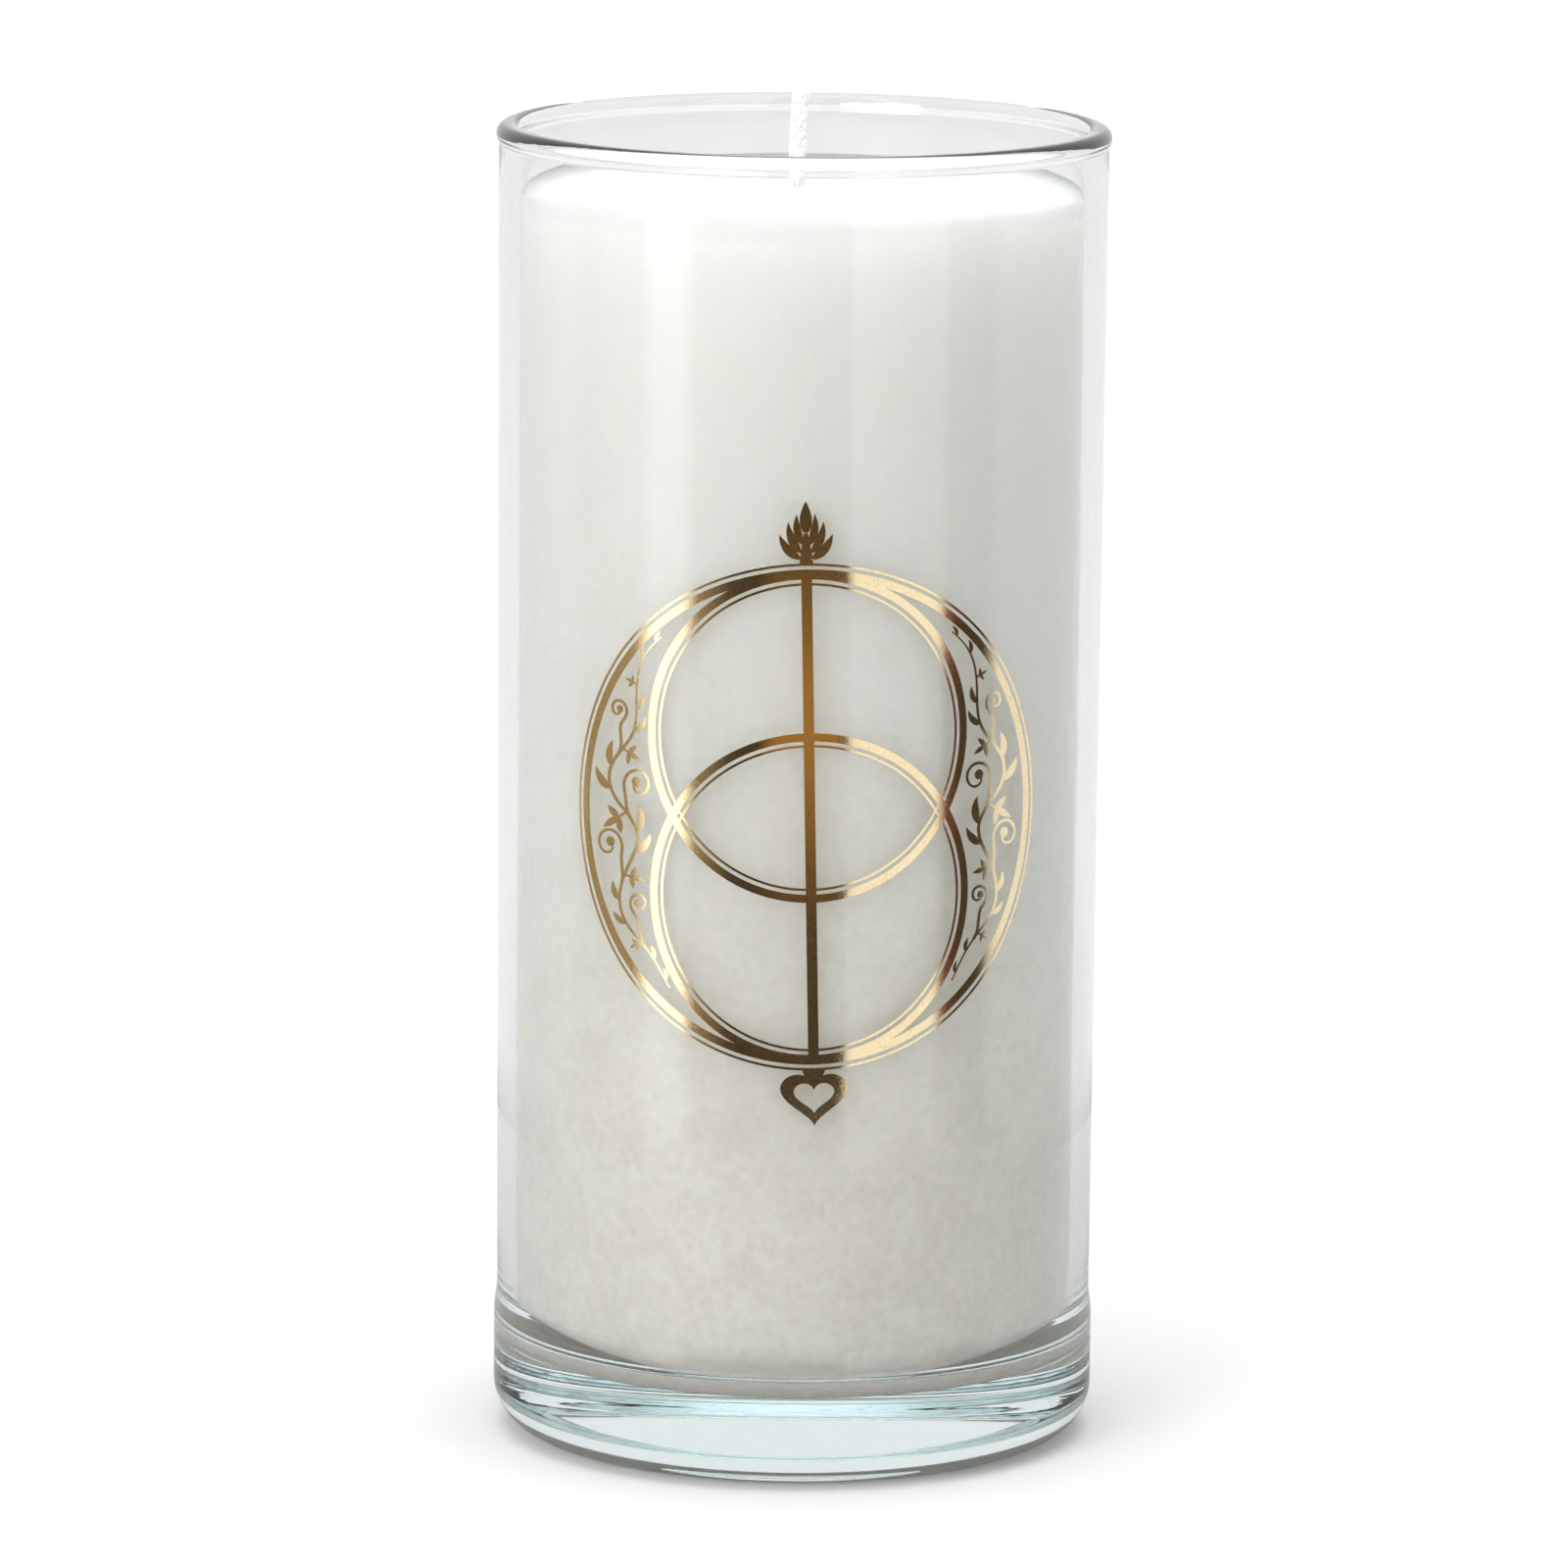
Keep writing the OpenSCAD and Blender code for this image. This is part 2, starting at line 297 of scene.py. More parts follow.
cottonLook = {
    "subsurface": 0.6,
    "subsurfaceDepth": 0.0006,
    "radii": (1.0, 0.9, 0.7),
    "sheen": 0.15,
    "waxScale": 900.0,
    "roughness": (0.45, 0.8),
    "fibreHeight": 0.00006,
    "fibreStrength": 0.8,
}


def waxedCotton(name, shade, light, scale):
    look = cottonLook
    material, tree, shader = newMaterial(name)
    fibres = noiseField(tree, objectSpace(tree, scale), 1.0, 4.0, 0.6)
    soaked = noiseField(tree, objectSpace(tree), look["waxScale"], 2.0)
    feed(tree, shader.inputs["Base Color"], rampField(tree, fibres, [(0.3, shade), (0.7, light)]))
    setShader(shader, Subsurface_Weight=look["subsurface"], Subsurface_Radius=look["radii"],
              Subsurface_Scale=look["subsurfaceDepth"], Sheen_Weight=look["sheen"])
    feed(tree, shader.inputs["Roughness"], spread(tree, soaked, *look["roughness"]))
    bumpFrom(tree, shader, fibres, look["fibreHeight"], look["fibreStrength"])
    return material


steelLook = {
    "dull": (0.55, 0.55, 0.54),
    "bright": (0.76, 0.76, 0.75),
    "grainScale": (900, 120, 900),
    "grainShare": 0.6,
    "crystalScale": 420.0,
    "crystalShare": 0.4,
    "roughness": (0.22, 0.42),
    "grainHeight": 0.00002,
    "grainStrength": 0.5,
}


def tinnedSteel():
    look = steelLook
    material, tree, shader = newMaterial("tinnedSteel")
    grain = noiseField(tree, objectSpace(tree, look["grainScale"]), 1.0)
    crystals = addNode(tree, "ShaderNodeTexVoronoi", Vector=objectSpace(tree),
                       Scale=look["crystalScale"]).outputs["Color"]
    tone = calc(tree, "ADD", calc(tree, "MULTIPLY", grain, look["grainShare"]),
                calc(tree, "MULTIPLY", crystals, look["crystalShare"]))
    colour = rampField(tree, tone, [(0.2, look["dull"]), (0.8, look["bright"])])
    feed(tree, shader.inputs["Base Color"], colour)
    setShader(shader, Metallic=1.0)
    feed(tree, shader.inputs["Roughness"], spread(tree, tone, *look["roughness"]))
    bumpFrom(tree, shader, grain, look["grainHeight"], look["grainStrength"])
    return material


foamLook = {
    "shade": (0.86, 0.86, 0.85),
    "light": (0.93, 0.93, 0.92),
    "mottleScale": 500.0,
    "poreScale": 2600.0,
    "roughness": (0.75, 0.95),
    "poreHeight": 0.00008,
    "poreStrength": 0.8,
}


def foamPad():
    look = foamLook
    material, tree, shader = newMaterial("foamPad")
    place = objectSpace(tree)
    pores = addNode(tree, "ShaderNodeTexVoronoi", Vector=place, Scale=look["poreScale"]).outputs["Distance"]
    mottle = noiseField(tree, place, look["mottleScale"])
    colour = rampField(tree, mottle, [(0.3, look["shade"]), (0.7, look["light"])])
    feed(tree, shader.inputs["Base Color"], colour)
    feed(tree, shader.inputs["Roughness"], spread(tree, pores, *look["roughness"]))
    bumpFrom(tree, shader, pores, look["poreHeight"], look["poreStrength"])
    return material


# lathe: the start mesh is a chain of profile points, with radius in x, height in z, share of waviness in y
lathe = {"sides": 192, "waveHeight": 0.00003, "waveCount": 3.2, "waveLength": 9.0, "weld": 0.000002}


def latheTree():
    tree, given, out = newTree("turnedProfile", {
        "Sides": "Int", "Wave Height": "Float", "Wave Count": "Float", "Wave Length": "Float",
        "Weld": "Float", "Material": "Material"})
    chain = given["Geometry"]
    count = addNode(tree, "GeometryNodeAttributeDomainSize", Geometry=chain).outputs["Point Count"]
    grid = addNode(tree, "GeometryNodeMeshGrid", Size_X=1.0, Size_Y=1.0, Vertices_X=count,
                   Vertices_Y=calc(tree, "ADD", given["Sides"], 1.0))
    position = addNode(tree, "GeometryNodeInputPosition").outputs[0]
    spot = addNode(tree, "ShaderNodeSeparateXYZ", Vector=position)
    along = calc(tree, "MULTIPLY", calc(tree, "ADD", spot.outputs["X"], 0.5),
                 calc(tree, "SUBTRACT", count, 1.0))
    turn = calc(tree, "MULTIPLY", calc(tree, "ADD", spot.outputs["Y"], 0.5), fullTurn)
    picked = addNode(tree, "GeometryNodeSampleIndex", {"data_type": "FLOAT_VECTOR", "domain": "POINT"},
                     Geometry=chain, Index=calc(tree, "ROUND", along), Value=position)
    profile = addNode(tree, "ShaderNodeSeparateXYZ", Vector=picked.outputs["Value"])
    cosine, sine = calc(tree, "COSINE", turn), calc(tree, "SINE", turn)
    around = addNode(tree, "ShaderNodeCombineXYZ", X=calc(tree, "MULTIPLY", cosine, given["Wave Count"]),
                     Y=calc(tree, "MULTIPLY", sine, given["Wave Count"]),
                     Z=calc(tree, "MULTIPLY", profile.outputs["Z"], given["Wave Length"]))
    wave = addNode(tree, "ShaderNodeTexNoise", Vector=around.outputs[0], Scale=1.0,
                   Detail=1.0).outputs["Fac"]
    lift = calc(tree, "MULTIPLY", calc(tree, "SUBTRACT", wave, 0.5),
                calc(tree, "MULTIPLY", profile.outputs["Y"], given["Wave Height"]))
    radius = calc(tree, "MULTIPLY_ADD", lift, 2.0, profile.outputs["X"])
    ring = addNode(tree, "ShaderNodeCombineXYZ", X=calc(tree, "MULTIPLY", radius, cosine),
                   Y=calc(tree, "MULTIPLY", radius, sine), Z=profile.outputs["Z"])
    moved = addNode(tree, "GeometryNodeSetPosition", Geometry=grid.outputs["Mesh"],
                    Position=ring.outputs[0])
    closed = addNode(tree, "GeometryNodeMergeByDistance", Geometry=moved.outputs[0], Distance=given["Weld"])
    endTree(tree, closed.outputs[0], given["Material"], out)
    return tree


turnedProfile = latheTree()


def turnedMesh(name, profile, material, sides=lathe["sides"], waveHeight=0.0):
    # profile points are (radius, height) in millimetres, some with a share of waviness as well
    chain = bpy.data.meshes.new(name + "Profile")
    points = [(p[0] * mm, p[2] if len(p) > 2 else 0.0, p[1] * mm) for p in profile]
    chain.from_pydata(points, [(i, i + 1) for i in range(len(points) - 1)], [])
    mesh = grown(name, turnedProfile, chain, {
        "Sides": sides, "Wave Height": waveHeight, "Wave Count": lathe["waveCount"],
        "Wave Length": lathe["waveLength"], "Weld": lathe["weld"], "Material": material})
    outwards(mesh)
    bpy.data.meshes.remove(chain)
    return mesh


# glass, in millimetres; neckHold is how far below the bead the close rows lie that keep its corner sharp
glass = {
    "beadOut": 0.35, "beadHeight": 2.3, "beadStep": 0.02, "neckHold": (0.9, 0.3, 0.08), "lip": 1.35,
    "draft": 0.9, "wall": 2.8, "floor": 10.7, "toeWidth": 6.0, "toeHeight": 7.0, "toeSteps": 26,
    "heelOut": 0.35, "heelHeight": 18.5, "heelRound": 6.0, "heelRows": (8.0, 10.0, 12.0), "shoulder": 4.0,
    "softSteps": 14, "pushUp": 1.6, "bearing": 3.5,
}
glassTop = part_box("glass_vessel")[1]
glass["height"], glass["rim"] = glassTop.z / mm, glassTop.x / mm
glass["top"] = glass["rim"] - glass["beadOut"]
glass["foot"] = glass["top"] - glass["draft"] / 2
glass["inner"] = glass["top"] - glass["wall"]


def bodyRadius(z):
    g = glass
    share = (z - g["heelHeight"]) / (g["height"] - g["beadHeight"] - g["heelHeight"])
    return g["foot"] + (g["top"] - g["foot"]) * share


def innerOutline():
    # from the floor's edge up the curved toe
    g = glass
    return arcPoints(g["inner"] - g["toeWidth"], g["floor"] + g["toeHeight"], g["toeWidth"], g["toeHeight"],
                     -90, 0, g["toeSteps"])


def glassProfile():
    g = glass
    heel = g["foot"] + g["heelOut"]
    ring = heel - g["heelRound"] - g["bearing"]
    steps = g["softSteps"]
    shares = [i / steps for i in range(steps + 1)]
    points = [(ring * i / steps, g["pushUp"] * (1 - share ** 3) ** 2) for i, share in enumerate(shares)]
    points += [(ring + 0.35 * g["bearing"], 0.0), (ring + 0.8 * g["bearing"], 0.0)]
    points += arcPoints(heel - g["heelRound"], g["heelRound"], g["heelRound"], g["heelRound"], -88, 0, 14)
    points += [(heel, z) for z in g["heelRows"]]
    for t in shares:
        points.append((heel - g["heelOut"] * t * t * (3 - 2 * t), g["heelHeight"] - g["shoulder"] * (1 - t)))
    neck = g["height"] - g["beadHeight"]
    points += linePoints((g["foot"], g["heelHeight"]), (g["top"], neck - g["neckHold"][0]), 22)
    points += [(g["top"], neck - hold) for hold in g["neckHold"]]
    points.append((g["top"] + g["beadStep"], neck))
    points += arcPoints(g["rim"] - g["lip"], g["height"] - g["lip"], g["lip"], g["lip"], -40, 90, 13)
    points += arcPoints(g["inner"] + g["lip"] * 0.8, g["height"] - g["lip"] * 1.4, g["lip"] * 0.8,
                        g["lip"] * 1.4, 100, 180, 8)
    inner = innerOutline()
    straight = linePoints((g["inner"], g["height"] - g["lip"] * 1.4), inner[-1], 20)
    points += [(r, z, min(1.0, (g["height"] - 2 - z) / 12)) for r, z in straight]
    points += [(r, z, i / g["toeSteps"]) for i, (r, z) in reversed(list(enumerate(inner)))]
    points += [(inner[0][0] * f, g["floor"]) for f in (0.8, 0.5, 0.2, 0.0)]
    return points


glassMaterial = clearGlass()
glassMesh = turnedMesh("glassVessel", glassProfile(), glassMaterial, waveHeight=lathe["waveHeight"])
addPiece("glassVessel", glassMesh, glassMaterial, "clear_glass", "glass_vessel")
print("glass turned")

# wax
wax = {
    "gap": 0.08, "wetting": 0.03, "wetShare": 0.5, "letGo": 0.2, "sag": 0.5, "edgeRise": 0.9,
    "edgeWidth": 1.8, "cadEdgeRise": 0.8, "unevenness": 0.12, "unevenSize": 90.0, "collarRise": 1.3,
    "collarWidth": 0.9, "padRoom": 10.8, "padHeight": 1.2, "padRound": 0.15, "topRings": 44,
}
wick = {
    "offset": -0.85, "foot": 12.0, "bend": 158.5, "bendRadius": 149.0, "strands": 8,
    "ringRadius": 0.71, "swell": 0.045, "strandRadius": 0.35, "body": 0.84, "pitch": 8.5, "steps": 640,
    "tube": 8, "bodySides": 12, "tipRoom": 0.12,
}
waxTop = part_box("wax_fill")[1].z / mm - wax["cadEdgeRise"]


def waxToe():
    # the wax wets the floor and the low part of the toe, and has let go of the glass above
    outline = []
    for i, (radius, z) in enumerate(innerOutline()):
        share = i / glass["toeSteps"]
        free = min(1.0, max(0.0, (share - wax["wetShare"]) / wax["letGo"]))
        gap = wax["gap"] * free - wax["wetting"] * (1 - free)
        angle = (share - 1) * math.pi / 2
        outline.append((radius - gap * math.cos(angle), z - gap * math.sin(angle)))
    return outline


def waxProfile():
    w = wax
    inner = waxToe()
    side = glass["inner"] - w["gap"]
    under = glass["floor"] - w["wetting"]
    ceiling = glass["floor"] + w["padHeight"]
    points = [(r, ceiling) for r in (0.0, 5.0, w["padRoom"] - w["padRound"])]
    points += [(w["padRoom"], ceiling - w["padRound"]), (w["padRoom"], under + w["padRound"]),
               (w["padRoom"] + w["padRound"], under), (20.0, under)]
    points += [(r, max(z, under)) for r, z in inner]
    crest = waxTop + w["edgeRise"]
    points += linePoints(inner[-1], (side, crest), 30)
    edge = arcPoints(side - w["edgeWidth"], crest, w["edgeWidth"], w["edgeRise"], 0, -90, 10)
    rings = w["topRings"]
    points += edge + [(edge[-1][0] * (1 - i / rings) ** 1.5, waxTop) for i in range(1, rings)]
    return points + [(0.0, waxTop)]


def settleTop(mesh):
    # sagging, slightly uneven top that climbs up the wick
    axis = Vector((wick["offset"] * mm, 0, 0))
    limit = (waxTop - 0.01) * mm
    side = (glass["inner"] - wax["gap"]) * mm
    for vertex in mesh.vertices:
        if vertex.co.z < limit:
            continue
        flat = Vector((vertex.co.x, vertex.co.y, 0))
        share = 1 - min(1.0, flat.length / side) ** 4
        uneven = noise.noise(flat * wax["unevenSize"]) * wax["unevenness"]
        near = max(0.0, (flat - axis).length / mm - 0.9)
        climb = wax["collarRise"] * math.exp(-near / wax["collarWidth"])
        vertex.co.z += (share * (uneven - wax["sag"]) + climb) * mm


waxMaterial = pouredWax()
waxMesh = turnedMesh("waxFill", waxProfile(), waxMaterial)
settleTop(waxMesh)
addPiece("waxFill", waxMesh, waxMaterial, "white_wax", "wax_fill")
print("wax poured")


# wick: strands laid over and under one another round the core, then bent a little at the tip
def braidTree():
    tree, given, out = newTree("laidStrands", {
        "Strands": "Int", "Steps": "Int", "Tube": "Int", "Length": "Float", "Straight": "Float",
        "Ring Radius": "Float", "Swell": "Float", "Strand Radius": "Float", "Pitch": "Float",
        "Foot": "Float", "Offset": "Float", "Bend Radius": "Float", "Body Radius": "Float",
        "Body Sides": "Int", "Material": "Material"})
    line = addNode(tree, "GeometryNodeCurvePrimitiveLine")
    points = addNode(tree, "GeometryNodeResampleCurve", Curve=line.outputs[0], Count=given["Steps"])
    copies = addNode(tree, "GeometryNodeDuplicateElements", {"domain": "SPLINE"},
                     Geometry=points.outputs[0], Amount=given["Strands"])
    share = addNode(tree, "GeometryNodeSplineParameter").outputs["Factor"]
    along = calc(tree, "MULTIPLY", share, given["Length"])
    index = copies.outputs["Duplicate Index"]
    odd = calc(tree, "MODULO", index, 2.0)
    hand = calc(tree, "SUBTRACT", 1.0, calc(tree, "MULTIPLY", odd, 2.0))
    pair = calc(tree, "FLOOR", calc(tree, "DIVIDE", index, 2.0))
    step = calc(tree, "DIVIDE", fullTurn * 2, given["Strands"])
    phase = calc(tree, "MULTIPLY", calc(tree, "MULTIPLY_ADD", odd, 0.5, pair), step)
    turn = calc(tree, "DIVIDE", calc(tree, "MULTIPLY", along, fullTurn), given["Pitch"])
    angle = calc(tree, "MULTIPLY_ADD", hand, turn, phase)
    weave = calc(tree, "SINE", calc(tree, "MULTIPLY", turn, calc(tree, "DIVIDE", given["Strands"], 2.0)))
    swell = calc(tree, "MULTIPLY", hand, given["Swell"])
    radius = calc(tree, "MULTIPLY_ADD", swell, weave, given["Ring Radius"])
    above = calc(tree, "MAXIMUM", calc(tree, "SUBTRACT", along, given["Straight"]), 0.0)
    lean = calc(tree, "DIVIDE", above, given["Bend Radius"])
    cosLean, sinLean = calc(tree, "COSINE", lean), calc(tree, "SINE", lean)
    bend = calc(tree, "MULTIPLY", given["Bend Radius"], calc(tree, "SUBTRACT", 1.0, cosLean))
    rise = calc(tree, "MULTIPLY_ADD", given["Bend Radius"], sinLean,
                calc(tree, "MINIMUM", along, given["Straight"]))
    middleX = calc(tree, "ADD", bend, given["Offset"])
    middleZ = calc(tree, "ADD", rise, given["Foot"])
    sideX = calc(tree, "MULTIPLY", radius, calc(tree, "COSINE", angle))
    sideY = calc(tree, "MULTIPLY", radius, calc(tree, "SINE", angle))
    strand = addNode(tree, "ShaderNodeCombineXYZ", X=calc(tree, "MULTIPLY_ADD", sideX, cosLean, middleX),
                     Y=sideY, Z=calc(tree, "SUBTRACT", middleZ, calc(tree, "MULTIPLY", sideX, sinLean)))
    middle = addNode(tree, "ShaderNodeCombineXYZ", X=middleX, Z=middleZ)
    both = addNode(tree, "GeometryNodeJoinGeometry")
    for curve, place, sides, width in (
            (copies.outputs["Geometry"], strand, given["Tube"], given["Strand Radius"]),
            (points.outputs[0], middle, given["Body Sides"], given["Body Radius"])):
        laid = addNode(tree, "GeometryNodeSetPosition", Geometry=curve, Position=place.outputs[0])
        circle = addNode(tree, "GeometryNodeCurvePrimitiveCircle", Resolution=sides, Radius=width)
        tube = addNode(tree, "GeometryNodeCurveToMesh", Curve=laid.outputs[0],
                       Profile_Curve=circle.outputs["Curve"], Fill_Caps=True)
        tree.links.new(tube.outputs[0], both.inputs[0])
    endTree(tree, both.outputs[0], given["Material"], out)
    return tree


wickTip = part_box("wick_braid")[1].z / mm - wick["tipRoom"]
wickMaterial = waxedCotton("waxedCotton", (0.86, 0.84, 0.78), (0.94, 0.93, 0.88), (2600, 2600, 700))
seedMesh = bpy.data.meshes.new("wickSeed")
wickMesh = grown("wickBraid", braidTree(), seedMesh, {
    "Strands": wick["strands"], "Steps": wick["steps"], "Tube": wick["tube"],
    "Length": (wickTip - wick["foot"]) * mm, "Straight": (wick["bend"] - wick["foot"]) * mm,
    "Ring Radius": wick["ringRadius"] * mm, "Swell": wick["swell"] * mm,
    "Strand Radius": wick["strandRadius"] * mm, "Pitch": wick["pitch"] * mm, "Foot": wick["foot"] * mm,
    "Offset": wick["offset"] * mm, "Bend Radius": wick["bendRadius"] * mm,
    "Body Radius": wick["body"] * mm, "Body Sides": wick["bodySides"], "Material": wickMaterial})
outwards(wickMesh)
addPiece("wickBraid", wickMesh, wickMaterial, "waxed_cotton", "wick_braid")
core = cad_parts["wick_core"]
coreMaterial = waxedCotton("coreCotton", (0.76, 0.74, 0.68), (0.90, 0.89, 0.84), (3000, 3000, 500))
core.data.materials.clear()
core.data.materials.append(coreMaterial)
print("wick laid")

# metal tab and foam pad under the wick
tab = {
    "radius": 10.0, "bottom": 11.52, "thickness": 0.28, "rib": 0.16, "ribFrom": 4.0, "ribTo": 6.2,
    "neck": 1.5, "neckTop": 17.8, "bore": 1.12, "crimpFrom": 1.2, "crimpPitch": 1.6, "crimpDepth": 0.176,
}
pad = {"radius": 9.0, "bottom": 10.715, "thickness": 0.78, "round": 0.18}
roundSides = 96


def shifted(mesh, distance):
    mesh.transform(Matrix.Translation((distance * mm, 0, 0)))
    return mesh


def tabProfile():
    t = tab
    low, high = t["bottom"], t["bottom"] + t["thickness"]
    outer = [(t["radius"] - 0.35, low), (t["radius"] - 0.08, low + 0.03), (t["radius"], low + 0.16),
             (t["radius"] - 0.06, high + 0.04), (t["radius"] - 0.3, high + 0.08), (t["radius"] - 0.7, high)]
    ribs = []
    for r in (8.5, 7.2, 6.2, 5.9, 5.5, 5.1, 4.7, 4.3, 4.0, 3.2, 2.4):
        along = min(1.0, max(0.0, (r - t["ribFrom"]) / (t["ribTo"] - t["ribFrom"])))
        ribs.append((r, high + t["rib"] * max(0.0, math.sin(math.pi * along))))
    neck = [(t["neck"] + 0.35, high + 0.05), (t["neck"] + 0.08, high + 0.3)]
    neck += [(t["neck"], high + 0.6 + 0.7 * i) for i in range(8)]
    neck += [(t["neck"] - 0.08, t["neckTop"]), (t["bore"] + 0.06, t["neckTop"]),
             (t["bore"], t["neckTop"] - 0.1)]
    foot = (t["bore"], low + 0.2)
    inside = [(t["bore"], t["neckTop"] - 1.2 * i) for i in range(1, 5)] + [foot]
    return [foot, (t["bore"] + 0.1, low), (5.0, low)] + outer + ribs + neck + inside


def crimp(mesh):
    # three rows of dents that hold the wick
    for vertex in mesh.vertices:
        height = vertex.co.z / mm - tab["bottom"] - tab["crimpFrom"]
        radius = math.hypot(vertex.co.x, vertex.co.y)
        if height < 0 or radius < (tab["bore"] + 0.1) * mm:
            continue
        row = 0.5 - 0.5 * math.cos(height * fullTurn / tab["crimpPitch"])
        around = max(0.0, math.cos(math.atan2(vertex.co.y, vertex.co.x) * 4)) ** 2
        vertex.co.xy *= 1 - tab["crimpDepth"] * row * around * mm / radius
    return mesh


steel = tinnedSteel()
tabMesh = shifted(crimp(turnedMesh("wickTab", tabProfile(), steel, roundSides)), wick["offset"])
addPiece("wickTab", tabMesh, steel, "tinned_steel", "wick_sustainer")
foam = foamPad()
low, high, edge = pad["bottom"], pad["bottom"] + pad["thickness"], pad["round"]
padProfile = [(0.0, low), (4.0, low)] + arcPoints(pad["radius"] - edge, low + edge, edge, edge, -90, 0, 5)
padProfile += arcPoints(pad["radius"] - edge, high - edge, edge, edge, 0, 90, 5) + [(4.0, high), (0.0, high)]
padMesh = shifted(turnedMesh("foamPad", padProfile, foam, roundSides), wick["offset"])
addPiece("foamSticker", padMesh, foam, "foam_sticker", "sustainer_sticker")
print("tab and pad placed")

# gold print: each motif follows the glass as a thin film
film = {"thickness": 0.06, "lift": 0.006, "stepDegrees": 2.5, "cadThickness": 0.12}
motifs = {
    "printOuterRing": "print_outer_ring", "printUpperRing": "print_upper_ring",
    "printLowerRing": "print_lower_ring", "printBar": "print_bar", "printLeafFinial": "print_leaf_finial",
    "printHeartDrop": "print_heart_drop", "printLeftScroll": "print_left_scroll",
    "printRightScroll": "print_right_scroll",
}


def wrappedMesh(name, source):
    work = bmesh.new()
    work.from_mesh(source)
    bmesh.ops.remove_doubles(work, verts=work.verts, dist=0.000002)
    spans = [math.atan2(v.co.x, -v.co.y) for v in work.verts]
    step = math.radians(film["stepDegrees"])
    for k in range(math.ceil(min(spans) / step), math.floor(max(spans) / step) + 1):
        parts = list(work.verts) + list(work.edges) + list(work.faces)
        side = Vector((math.cos(k * step), math.sin(k * step), 0))
        bmesh.ops.bisect_plane(work, geom=parts, dist=0.0000005, plane_co=(0, 0, 0), plane_no=side)
    bmesh.ops.triangulate(work, faces=[f for f in work.faces if len(f.verts) > 3])
    for vertex in work.verts:
        radius = math.hypot(vertex.co.x, vertex.co.y)
        base = bodyRadius(vertex.co.z / mm) * mm
        inFront = radius - base > film["cadThickness"] * mm / 2
        vertex.co.xy *= (base + film["thickness" if inFront else "lift"] * mm) / radius
    mesh = bpy.data.meshes.new(name)
    work.to_mesh(mesh)
    work.free()
    return mesh


def filmNormals(mesh):
    # faces on the film's front and back take the glass's own curve
    normals = []
    for face in mesh.polygons:
        face.use_smooth = True
        flat = face.normal.copy()
        for corner in face.loop_indices:
            point = mesh.vertices[mesh.loops[corner].vertex_index].co
            outward = Vector((point.x, point.y, 0)).normalized()
            facing = flat.dot(outward)
            normals.append(outward if facing > 0.7 else -outward if facing < -0.7 else flat)
    mesh.normals_split_custom_set(normals)


gold = brightGold()
for pieceName, nodeName in motifs.items():
    mesh = wrappedMesh(pieceName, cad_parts[nodeName].data)
    filmNormals(mesh)
    addPiece(pieceName, mesh, gold, "bright_gold", nodeName)
print("gold printed")

# floor, with a tone of its own for what the glass shows of it and for the light it throws back
floor = {
    "size": 3.0, "drop": 0.00003, "mottle": 0.01, "mottleScale": 12.0, "roughness": 0.8,
    "open": 0.74, "bounce": 0.5, "glassNear": 0.43, "glassFar": 0.55, "nearTo": 0.05, "farFrom": 0.35,
    "patch": (0.12, 0.095, 0.07, 1), "patchFrom": -0.18, "patchFull": -0.26, "patchTurn": 18.0,
    "patchInside": 26.0, "patchOutside": 34.0,
}
floorMesh = bpy.data.meshes.new("studioFloor")
reach = floor["size"]
corners = [(-reach, -reach), (reach, -reach), (reach, reach), (-reach, reach)]
floorMesh.from_pydata([(x, y, -floor["drop"]) for x, y in corners], [], [(0, 1, 2, 3)])
studioFloor = bpy.data.objects.new("studioFloor", floorMesh)
scene.collection.objects.link(studioFloor)
floorMaterial, floorTree, floorShader = newMaterial("paleFloor")
tone = noiseField(floorTree, objectSpace(floorTree), floor["mottleScale"])


def mottled(level):
    darker, lighter = level - floor["mottle"], level + floor["mottle"]
    return rampField(floorTree, tone, [(0.3, (darker,) * 3), (0.7, (lighter,) * 3)])


def headingOf(tree, spot):
    # degrees round the candle, 0 towards the front and positive to the right
    ahead = calc(tree, "MULTIPLY", spot.outputs["Y"], -1.0)
    return calc(tree, "DEGREES", calc(tree, "ARCTAN2", spot.outputs["X"], ahead))


# the glass also shows a dark patch of floor in front, where the camera would stand
floorSpot = addNode(floorTree, "ShaderNodeSeparateXYZ", Vector=objectSpace(floorTree))
beyond = spread(floorTree, floorSpot.outputs["Y"], 1.0, 0.0, floor["patchFull"], floor["patchFrom"])
turned = calc(floorTree, "ADD", headingOf(floorTree, floorSpot), floor["patchTurn"])
aside = calc(floorTree, "ABSOLUTE", turned)
within = spread(floorTree, aside, 1.0, 0.0, floor["patchInside"], floor["patchOutside"])
farther = spread(floorTree, floorSpot.outputs["Y"], 0.0, 1.0, floor["nearTo"], floor["farFrom"])
pale = mixColours(floorTree, farther, mottled(floor["glassNear"]), mottled(floor["glassFar"]))
throughGlass = mixColours(floorTree, calc(floorTree, "MULTIPLY", beyond, within), pale, floor["patch"])
path = addNode(floorTree, "ShaderNodeLightPath").outputs
bounced = calc(floorTree, "GREATER_THAN", path["Diffuse Depth"], 0.5)
indirect = mixColours(floorTree, bounced, throughGlass, mottled(floor["bounce"]))
floorColour = mixColours(floorTree, path["Is Camera Ray"], indirect, mottled(floor["open"]))
feed(floorTree, floorShader.inputs["Base Color"], floorColour)
setShader(floorShader, Roughness=floor["roughness"], Specular_IOR_Level=0.0)
floorMesh.materials.append(floorMaterial)

